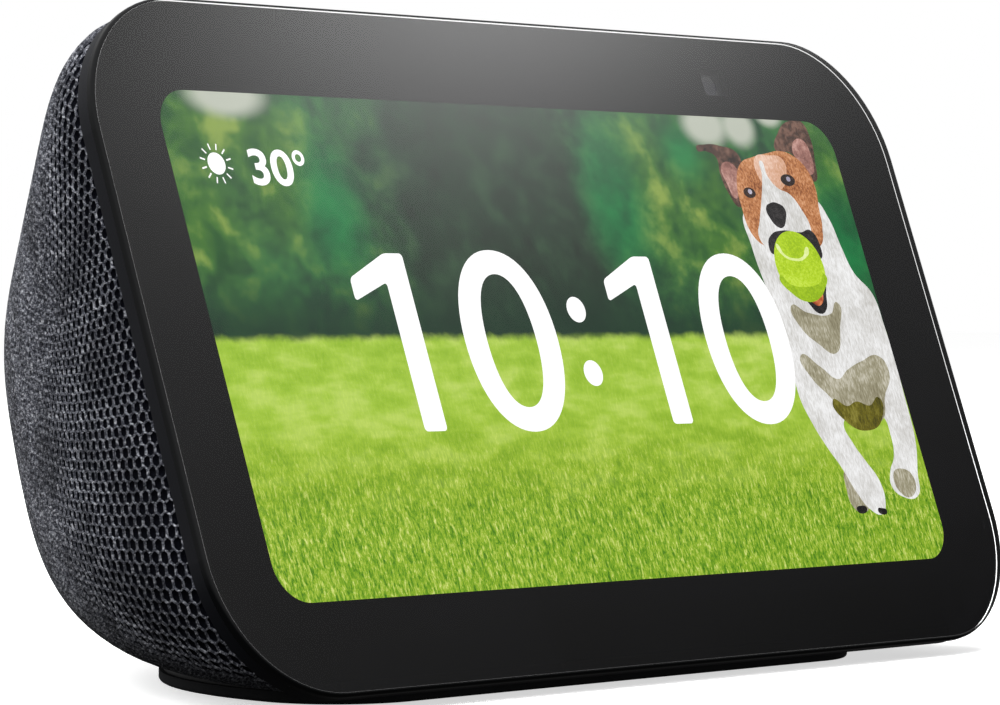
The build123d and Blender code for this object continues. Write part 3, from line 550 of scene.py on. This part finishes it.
# ---------------------------------------------------------------- the dog at the right of the picture
fur_white = lit("fur_white", "#c6c4bf", "#dfdedc", "#f4f4f4", 1.6, (2.4, 0.7, 1)).material
fur_shade = lit("fur_shade", "#7f785e", "#a09a80", "#c9c4b2", 1.6, (2.4, 0.7, 1)).material
fur_belly = lit("fur_belly", "#3d3a08", "#67600f", "#8b8434", 1.4, (2.0, 0.8, 1)).material
fur_tan = lit("fur_tan", "#7e421b", "#bd7a48", "#dfa57a", 2.0, (1.6, 1.0, 1)).material
fur_pale_tan = lit("fur_pale_tan", "#cf9a76", "#dfb095", "#efcdb8", 2.0, (1.6, 1.0, 1)).material
ear_dark = lit("ear_dark", "#241b18", "#51382d", "#7b5a4c", 1.2).material
ear_pink = lit("ear_pink", "#7b5048", "#a5756a", "#c89b90", 1.4).material
nose_black = lit("nose_black", "#0a0809", "#171415", "#343031", 1.4).material
eye_dark = lit("eye_dark", "#1a0e0a", "#2a1812", "#4a2c20", 2.0).material
eye_shine = lit("eye_shine", "#9a93a8", "#b9b2c4", "#d9d6e2", 2.0).material
mouth_red = lit("mouth_red", "#6b2413", "#b4532b", "#e08a58", 1.0).material
ball_green = lit("ball_green", "#98bd00", "#b4d61a", "#cbe84a", 3.2, patch=0.2).material
ball_low = lit("ball_low", "#7ea300", "#93b804", "#a9cc18", 3.2, patch=0.2).material
ball_seam = lit("ball_seam", "#d6ea7e", "#e2f19a", "#edf7b8", 3.2).material

body = [
    (39.0, 17.5), (38.8, 13.0), (39.3, 8.0), (40.3, 3.0),
    (40.2, -3.5), (39.9, -8.0), (40.9, -11.5), (42.6, -15.0),
    (44.5, -18.0), (46.2, -21.5), (48.0, -23.9), (50.4, -24.7), (51.8, -22.8), (51.7, -20.0), (50.0, -17.3),
    (48.4, -14.8), (47.6, -12.0), (50.0, -11.0), (53.5, -11.6), (56.3, -11.2), (56.9, -14.0), (56.3, -16.8),
    (54.6, -18.9), (54.0, -20.9), (55.6, -22.4), (59.3, -22.3), (60.4, -19.3), (61.9, -15.0), (62.35, -9.0),
    (62.35, 2.0), (61.8, 6.2), (59.0, 9.4), (57.9, 13.0), (57.0, 17.0), (55.0, 20.0), (47.0, 20.0),
]
flat_shape("dog_body", [body], 1.090, fur_white, steps=10)
hind_paw = [(45.2, -18.5), (44.3, -21.0), (44.7, -23.6), (46.6, -24.4), (48.2, -23.2), (47.0, -20.5)]
flat_shape("dog_hind_paw", [hind_paw], 1.096, fur_shade)
chest = [
    (42.5, -2.5), (46.0, -4.0), (49.0, -5.8), (51.5, -4.6),
    (55.0, -3.4), (59.5, -2.8), (60.5, -5.0), (58.0, -8.5),
    (56.6, -11.3), (52.0, -12.6), (48.6, -11.6), (46.6, -8.6), (43.5, -5.5),
]
flat_shape("dog_chest", [chest], 1.084, fur_shade)
belly = [
    (46.6, -8.8), (49.4, -9.6), (51.6, -9.0), (54.2, -9.6), (56.8, -8.6), (56.0, -11.6), (52.2, -13.1),
    (48.4, -11.9),
]
flat_shape("dog_belly", [belly], 1.078, fur_belly)
throat = [
    (43.5, 4.5), (46.5, 3.6), (51.5, 3.4), (53.6, 5.0), (52.6, 1.4), (50.2, -2.2), (47.0, -0.8),
    (44.2, 1.6),
]
flat_shape("dog_throat", [throat], 1.084, fur_shade)
left_ear = [
    (33.0, 26.5), (35.0, 27.2), (38.0, 27.1), (41.4, 25.9),
    (41.2, 23.4), (39.8, 20.6), (38.8, 18.4), (37.0, 20.6),
    (36.5, 23.2), (36.6, 25.4), (35.0, 26.2),
]
flat_shape("dog_left_ear", [left_ear], 1.084, ear_dark)
left_lining = [(37.3, 24.4), (40.2, 24.0), (39.2, 21.0), (38.4, 19.6), (37.4, 21.4)]
flat_shape("dog_left_ear_lining", [left_lining], 1.078, ear_pink)
right_ear = [
    (49.7, 26.6), (51.4, 29.6), (53.6, 31.0), (57.0, 31.1),
    (57.9, 29.0), (57.5, 25.4), (56.2, 22.4), (54.6, 24.2),
    (52.4, 26.6),
]
flat_shape("dog_right_ear", [right_ear], 1.084, ear_dark)
right_lining = [(53.2, 26.9), (55.8, 28.6), (57.0, 26.4), (55.9, 23.4), (54.6, 24.8)]
flat_shape("dog_right_ear_lining", [right_lining], 1.078, ear_pink)
head = [
    (39.0, 18.6), (39.4, 21.8), (41.2, 24.6), (44.4, 25.7),
    (47.5, 26.3), (50.4, 26.7), (53.2, 26.0), (55.3, 24.0),
    (55.9, 21.6), (55.4, 18.4), (55.0, 15.8), (53.4, 13.1),
    (50.0, 13.6), (45.0, 13.2), (41.6, 13.0), (39.6, 14.6),
]
flat_shape("dog_head", [head], 1.070, fur_tan, steps=10)
brow = [(44.6, 25.5), (47.6, 26.0), (50.6, 25.4), (50.6, 23.6), (48.6, 21.2), (46.0, 21.0), (44.4, 22.6)]
flat_shape("dog_brow", [brow], 1.064, fur_pale_tan)
blaze = [
    (45.7, 25.2), (46.3, 23.0), (47.6, 21.4), (50.0, 20.4),
    (51.6, 18.2), (52.4, 15.8), (51.6, 13.8), (46.5, 13.4),
    (41.9, 12.8), (40.9, 14.2), (42.0, 16.6), (43.3, 19.0), (44.4, 21.2), (45.2, 23.2),
]
flat_shape("dog_muzzle", [blaze], 1.058, fur_white, steps=10)
lips = [
    (42.4, 13.2), (43.6, 14.6), (46.0, 15.2), (50.0, 15.0), (52.2, 15.3), (53.3, 13.4), (52.6, 11.2),
    (51.0, 13.4), (44.2, 12.8), (42.8, 11.8),
]
flat_shape("dog_lips", [lips], 1.054, nose_black)
jaw = [(46.9, 6.4), (47.6, 4.6), (49.2, 3.4), (50.8, 4.0), (51.6, 6.0), (51.9, 8.0)]
flat_shape("dog_jaw", [jaw], 1.054, nose_black)
tongue = [(47.7, 6.0), (48.4, 4.9), (49.8, 4.6), (51.0, 6.4), (50.6, 7.6)]
flat_shape("dog_tongue", [tongue], 1.050, mouth_red)
nose = [
    (44.0, 18.3), (45.2, 19.1), (46.8, 19.1), (48.0, 18.3), (47.6, 16.8), (46.4, 15.6), (45.4, 15.7),
    (44.3, 16.9),
]
flat_shape("dog_nose", [nose], 1.050, nose_black)
for side, x, u, across, up in (("left", 41.5, 20.5, 1.25, 0.75), ("right", 50.4, 22.5, 1.5, 0.85)):
    flat_shape("dog_" + side + "_eye", [oval(x, u, across, up)], 1.054, eye_dark)
    flat_shape("dog_" + side + "_eye_shine", [oval(x + 0.15, u + 0.15, 0.42, 0.36)], 1.048, eye_shine)
flat_shape("ball", [oval(47.75, 10.1, 5.05, 5.05)], 1.046, ball_green, steps=16)
under = [
    (42.9, 8.8), (44.6, 7.6), (47.8, 7.2), (51.0, 7.8), (52.6, 9.0), (51.4, 6.6), (49.6, 5.45),
    (47.4, 5.1), (45.0, 5.9),
]
flat_shape("ball_shade", [under], 1.042, ball_low, steps=12)
seam = [
    (43.9, 13.2), (44.8, 11.6), (46.9, 10.9), (49.2, 11.2), (50.6, 12.6), (50.3, 12.9), (49.0, 11.6),
    (46.9, 11.25), (45.1, 11.9), (44.2, 13.3),
]
flat_shape("ball_seam", [seam], 1.038, ball_seam)
claws = [
    [(45.2, -23.9), (46.3, -23.4), (47.4, -23.8), (46.3, -24.5)],
    [(49.6, -24.1), (50.7, -23.9), (51.5, -24.3), (50.5, -24.8)],
]
flat_shape("dog_claws", claws, 1.064, nose_black)
leg_shade = [(55.0, -19.4), (57.4, -18.6), (59.2, -19.8), (58.6, -22.0), (56.0, -22.3)]
flat_shape("dog_leg_shade", [leg_shade], 1.070, fur_shade)

# ---------------------------------------------------------------- knitted cover
FRAME_BACK = 2.95      # the knit starts behind the frame's visible rim, in mm
CELL_WAYS = 36         # cells along each edge of the ball that the knit starts from
STRAND = 0.12          # half of a strand between two cells, in mm
SINK = 0.30            # depth of a cell's ground under the strands, in mm
RELAX_ROUNDS = 30      # rounds that even out the cells over the skin
MOUTH = 3.2            # the skin's points this close behind the glass are its mouth, in mm
AHEAD = 12.0           # the mouth is carried forward by this, in mm
PANEL_LAP = 0.0003     # the panel covers the knit by this
BASE_HEIGHT = 0.006    # cells lower than this may lie over the base
PANEL_HEIGHT = 0.07    # cells higher than this may lie under the panel
WELL_SIDE = 0.015      # cells further back than this may lie round the well
LEAST_CELL = 2.0e-7    # faces smaller than this stay as strands


def skin_of_cover():
    """Closed skin of the CAD cover, to lay the knit on."""
    bm = bmesh.new()
    bm.from_mesh(nodes["fabric_cover"].data)
    bmesh.ops.remove_doubles(bm, verts=bm.verts[:], dist=0.00001)
    bmesh.ops.delete(bm, geom=bm.faces[:], context="FACES_ONLY")
    bmesh.ops.delete(bm, geom=bm.edges[:], context="EDGES_FACES")
    mouth = [v for v in bm.verts if (GLASS_FRONT - v.co).dot(OUT) < MOUTH * MM]
    ahead = bmesh.ops.duplicate(bm, geom=mouth)["geom"]
    points = [v for v in ahead if isinstance(v, bmesh.types.BMVert)]
    bmesh.ops.translate(bm, vec=(0, -AHEAD * MM, 0), verts=points)
    bmesh.ops.convex_hull(bm, input=bm.verts[:], use_existing_faces=False)
    bmesh.ops.delete(bm, geom=[v for v in bm.verts if not v.link_faces], context="VERTS")
    bmesh.ops.triangulate(bm, faces=bm.faces[:])
    tree = BVHTree.FromBMesh(bm)
    bm.free()
    return tree


skin = skin_of_cover()
HEART = Vector((0.0, -0.010, 0.040))    # point inside the body that the ball is cast from
ball = bmesh.new()
upright = Matrix.Rotation(math.radians(31.7), 4, "Y")
bmesh.ops.create_icosphere(ball, subdivisions=1, radius=1.0, matrix=upright)
bmesh.ops.subdivide_edges(ball, edges=ball.edges[:], cuts=CELL_WAYS - 1, use_grid_fill=True)
for vert in ball.verts:
    hit = skin.ray_cast(HEART + vert.co.normalized() * 0.3, -vert.co.normalized())[0]
    vert.co = hit
for _ in range(RELAX_ROUNDS):
    bmesh.ops.smooth_vert(
        ball, verts=ball.verts[:], factor=0.6, use_axis_x=True, use_axis_y=True, use_axis_z=True,
    )
    for vert in ball.verts:
        vert.co = skin.find_nearest(vert.co)[0]
bmesh.ops.bevel(
    ball, geom=ball.verts[:], offset=33.0, offset_type="PERCENT", segments=1, profile=0.5,
    affect="VERTICES", material=-1,
)
bmesh.ops.recalc_face_normals(ball, faces=ball.faces[:])

# open the front behind the frame, and the places of the button panel, the base and the plug's well
everything = ball.verts[:] + ball.edges[:] + ball.faces[:]
bmesh.ops.bisect_plane(
    ball, geom=everything, dist=0.000001, plane_co=on_face(0, 0, FRAME_BACK), plane_no=OUT, clear_outer=True,
)
panel_low, panel_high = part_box("top_panel")
panel_y = (panel_low.y + panel_high.y) / 2
panel_r = (panel_high.y - panel_low.y) / 2
panel_end = panel_high.x - panel_r
base_mesh = nodes["base_plate"].data
base = BVHTree.FromPolygons(
    [v.co for v in base_mesh.vertices], [tuple(f.vertices) for f in base_mesh.polygons],
)
WELL = Vector((0.0, 0.0, 0.0138))    # the plug well's axis
WELL_R = 0.00778                     # the knit's edge round the well


def under_panel(co):
    """True where the button panel covers the knit."""
    off = Vector((abs(co.x) - min(abs(co.x), panel_end), co.y - panel_y))
    return co.z > panel_low.z and off.length < panel_r - PANEL_LAP


def over_base(co):
    """True where the base plate covers the knit."""
    return co.z < BASE_HEIGHT and base.ray_cast(Vector((co.x, co.y, 0.03)), Vector((0, 0, -1)))[0] is not None


def well_way(co):
    """Way from the well's axis to a point near the well, across the axis."""
    return Vector((co.x - WELL.x, 0.0, co.z - WELL.z))


gone = []
for face in ball.faces:
    middle = face.calc_center_median()
    if middle.z > PANEL_HEIGHT and all(under_panel(v.co) for v in face.verts):
        gone.append(face)
    elif middle.z < BASE_HEIGHT and all(over_base(v.co) for v in face.verts):
        gone.append(face)
    elif middle.y > WELL_SIDE and well_way(middle).length < WELL_R:
        gone.append(face)
bmesh.ops.delete(ball, geom=gone, context="FACES")
for vert in ball.verts:
    way = well_way(vert.co)
    if vert.co.y > WELL_SIDE and way.length < WELL_R:
        vert.co += way.normalized() * (WELL_R - way.length)
halves = ball.copy()
ground = knit_depth()
for name, bm, side in (("knit_left", ball, -1), ("knit_right", halves, 1)):
    other = [f for f in bm.faces if (f.calc_center_median().x > 0) == (side < 0)]
    bmesh.ops.delete(bm, geom=other, context="FACES")
    cells = [f for f in bm.faces if f.calc_area() > LEAST_CELL]
    bmesh.ops.inset_individual(bm, faces=cells, thickness=STRAND * MM, depth=-SINK * MM, use_even_offset=True)
    for face in bm.faces:
        face.material_index = 0
    for face in cells:
        face.material_index = 1
    knit = piece(name, mesh_of(name, bm, True), [finishes["knit_fabric"], ground])
    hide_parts("fabric_cover")


# ---------------------------------------------------------------- marks on the buttons
def raised_mark(name, node, body, draw):
    """A slightly raised mark on a button's top; draw adds its bars, in mm from the middle."""
    low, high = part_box(node)
    middle = Vector(((low.x + high.x) / 2, (low.y + high.y) / 2, high.z - 0.00002))
    bm = bmesh.new()
    draw(bm)
    bmesh.ops.transform(bm, matrix=Matrix.Translation(middle) @ Matrix.Scale(MM, 4), verts=bm.verts[:])
    bmesh.ops.recalc_face_normals(bm, faces=bm.faces[:])
    piece(name, mesh_of(name, bm), [mark_grey], body=body)


def bar(bm, across, along, turn=0.0):
    """One rounded bar, 0.08 mm tall."""
    made = bmesh.ops.create_cube(bm, size=1.0, matrix=Matrix.Diagonal((across, along, 0.08, 1.0)))
    edges = [e for v in made["verts"] for e in v.link_edges]
    upright = [e for e in edges if abs(e.verts[0].co.z - e.verts[1].co.z) > 0.05]
    bmesh.ops.bevel(
        bm, geom=list(set(upright)), offset=0.18, offset_type="OFFSET", segments=4, profile=0.5,
        affect="EDGES", material=-1,
    )
    bmesh.ops.rotate(bm, cent=(0, 0, 0), matrix=Matrix.Rotation(turn, 3, "Z"), verts=bm.verts[:])


def minus(bm):
    bar(bm, 2.2, 0.42)


def plus(bm):
    bar(bm, 2.2, 0.42, math.pi / 2)
    bar(bm, 2.2, 0.42)


def ring_and_bar(bm):
    """A ring with a slanted bar: sound off."""
    corners = ((0.95, -0.04), (1.25, -0.04), (1.25, 0.04), (0.95, 0.04))
    section = [bm.verts.new((r, 0.0, z)) for r, z in corners]
    loop = [bm.edges.new((section[i], section[(i + 1) % 4])) for i in range(4)]
    bmesh.ops.spin(
        bm, geom=section + loop, cent=(0, 0, 0), axis=(0, 0, 1), angle=2 * math.pi, steps=40, use_merge=True,
    )
    bmesh.ops.remove_doubles(bm, verts=bm.verts[:], dist=0.001)
    slant = Matrix.Rotation(math.pi / 4, 4, "Z") @ Matrix.Diagonal((2.0, 0.3, 0.07, 1))
    bmesh.ops.create_cube(bm, size=1.0, matrix=slant)


mark_grey = moulded("mark_grey", "#8d9096", "#a4a7ac", 0.5).material
raised_mark("volume_down_mark", "volume_down_button", "volume_down", minus)
raised_mark("volume_up_mark", "volume_up_button", "volume_up", plus)
raised_mark("mute_mark", "mute_button", "mute", ring_and_bar)

# ---------------------------------------------------------------- floor, light and camera
bm = bmesh.new()
bmesh.ops.create_grid(bm, x_segments=8, y_segments=8, size=6.0)
floor = bpy.data.objects.new("floor", mesh_of("floor", bm))
bpy.context.scene.collection.objects.link(floor)
paper_white = Finish("paper_white")
paper_white.shade(Base_Color=paper_white.ramp(paper_white.noise(3.0), [(0.3, "#f4f4f4"), (0.7, "#fafafa")]))
paper_white.shade(Roughness=0.9, Emission_Color=colour("#ffffff"), Emission_Strength=0.62)
paper_white.bump(paper_white.noise(400.0), 0.05, 0.0002)
floor.data.materials.append(paper_white.material)
floor.visible_diffuse = False
floor.visible_glossy = False


def look(place, target):
    """Turn that points an object's -Z from place to target, with its top up."""
    return (Vector(target) - Vector(place)).to_track_quat("-Z", "Y").to_matrix().to_4x4()


CARD_WAY = Vector((0.734, -0.527, 0.428)).normalized()
CARD_FAR = 1.2               # the card stands this far from the glass
CARD_PEAK = (0.096, 0.170)   # brightest place on the card
CARD_WIDTH = (0.119, 0.095)  # how widely the bright patch spreads
CARD_BRIGHT = 4.64           # strength at the peak
CARD_RISE = 1.27             # strength gained per metre upwards
CARD_FOOT = 0.26             # how far under the middle the rise begins
CARD_LEAST = 0.05            # least strength
card_place = GLASS_FRONT + CARD_WAY * CARD_FAR
bm = bmesh.new()
bmesh.ops.create_grid(bm, x_segments=4, y_segments=4, size=0.5)
bmesh.ops.scale(bm, vec=(1.3, 1.0, 1.0), verts=bm.verts[:])
card = bpy.data.objects.new("soft_card", mesh_of("soft_card", bm))
bpy.context.scene.collection.objects.link(card)
card.matrix_world = Matrix.Translation(card_place) @ look(card_place, GLASS_FRONT)
card.visible_camera = False
card.visible_diffuse = False
card.visible_shadow = False
glow = Finish("card_glow")
cx, cu, _ = glow.apart(glow.place)
across = glow.math("DIVIDE", glow.math("SUBTRACT", cx, CARD_PEAK[0]), CARD_WIDTH[0])
upward = glow.math("DIVIDE", glow.math("SUBTRACT", cu, CARD_PEAK[1]), CARD_WIDTH[1])
spread = glow.math("ADD", glow.math("MULTIPLY", across, across), glow.math("MULTIPLY", upward, upward))
bright = glow.math("MULTIPLY", glow.math("EXPONENT", glow.math("MULTIPLY", spread, -1.0)), CARD_BRIGHT)
rise = glow.math("MULTIPLY", glow.math("ADD", cu, CARD_FOOT), CARD_RISE)
level = glow.math("ADD", bright, rise)
glow.shade(Base_Color=colour("#000000"), Roughness=1.0, Specular_IOR_Level=0.0)
glow.shade(Emission_Color=colour("#ffffff"), Emission_Strength=glow.math("MAXIMUM", level, CARD_LEAST))
card.data.materials.append(glow.material)


def soft_light(name, place, target, size, power, tint="#ffffff"):
    """A square soft light."""
    lamp = bpy.data.lights.new(name, "AREA")
    lamp.shape = "SQUARE"
    lamp.size = size
    lamp.energy = power
    lamp.color = colour(tint)[:3]
    made = bpy.data.objects.new(name, lamp)
    made.visible_glossy = False
    made.matrix_world = Matrix.Translation(Vector(place)) @ look(place, target)
    bpy.context.scene.collection.objects.link(made)
    return made


soft_light("top_light", (-0.15, -0.15, 1.25), (0, 0, 0.03), 1.0, 22)
soft_light("left_light", (-1.1, -0.35, 0.75), (0, 0, 0.04), 0.7, 10)
soft_light("back_light", (-0.35, 1.1, 0.8), (0, 0, 0.04), 0.8, 9)

world = bpy.data.worlds.new("studio")
world.use_nodes = True
sky = world.node_tree
sky.nodes.clear()
seen = sky.nodes.new("ShaderNodeBackground")
seen.inputs["Color"].default_value = (1, 1, 1, 1)
seen.inputs["Strength"].default_value = 1.0
felt = sky.nodes.new("ShaderNodeBackground")
felt.inputs["Strength"].default_value = 0.42
way = sky.nodes.new("ShaderNodeTexCoord")
parts = sky.nodes.new("ShaderNodeSeparateXYZ")
fade = sky.nodes.new("ShaderNodeMapRange")
fade.inputs["From Min"].default_value = -0.35
fade.inputs["From Max"].default_value = 0.55
fade.inputs["To Min"].default_value = 0.04
sky.links.new(way.outputs["Generated"], parts.inputs[0])
sky.links.new(parts.outputs["Z"], fade.inputs["Value"])
sky.links.new(fade.outputs[0], felt.inputs["Color"])
ray = sky.nodes.new("ShaderNodeLightPath")
blend = sky.nodes.new("ShaderNodeMixShader")
end = sky.nodes.new("ShaderNodeOutputWorld")
sky.links.new(ray.outputs["Is Camera Ray"], blend.inputs["Fac"])
sky.links.new(felt.outputs[0], blend.inputs[1])
sky.links.new(seen.outputs[0], blend.inputs[2])
sky.links.new(blend.outputs[0], end.inputs["Surface"])
bpy.context.scene.world = world
bpy.context.scene.view_settings.view_transform = "Standard"

camera = bpy.data.objects.new("camera", bpy.data.cameras.new("camera"))
bpy.context.scene.collection.objects.link(camera)
camera.data.lens = 153.74
camera.data.sensor_width = 36.0
camera.data.clip_start = 0.01
VIEW_OFFSET = Vector((-0.3972, -0.3539, 0.0041))   # camera, from the middle of the screen
VIEW_WAY = Vector((0.7338, 0.6793, -0.0107))
view_from = on_face(0, 0, 1.0) + VIEW_OFFSET
camera.matrix_world = Matrix.Translation(view_from) @ look(view_from, view_from + VIEW_WAY)
bpy.context.scene.camera = camera

bpy.context.view_layer.update()
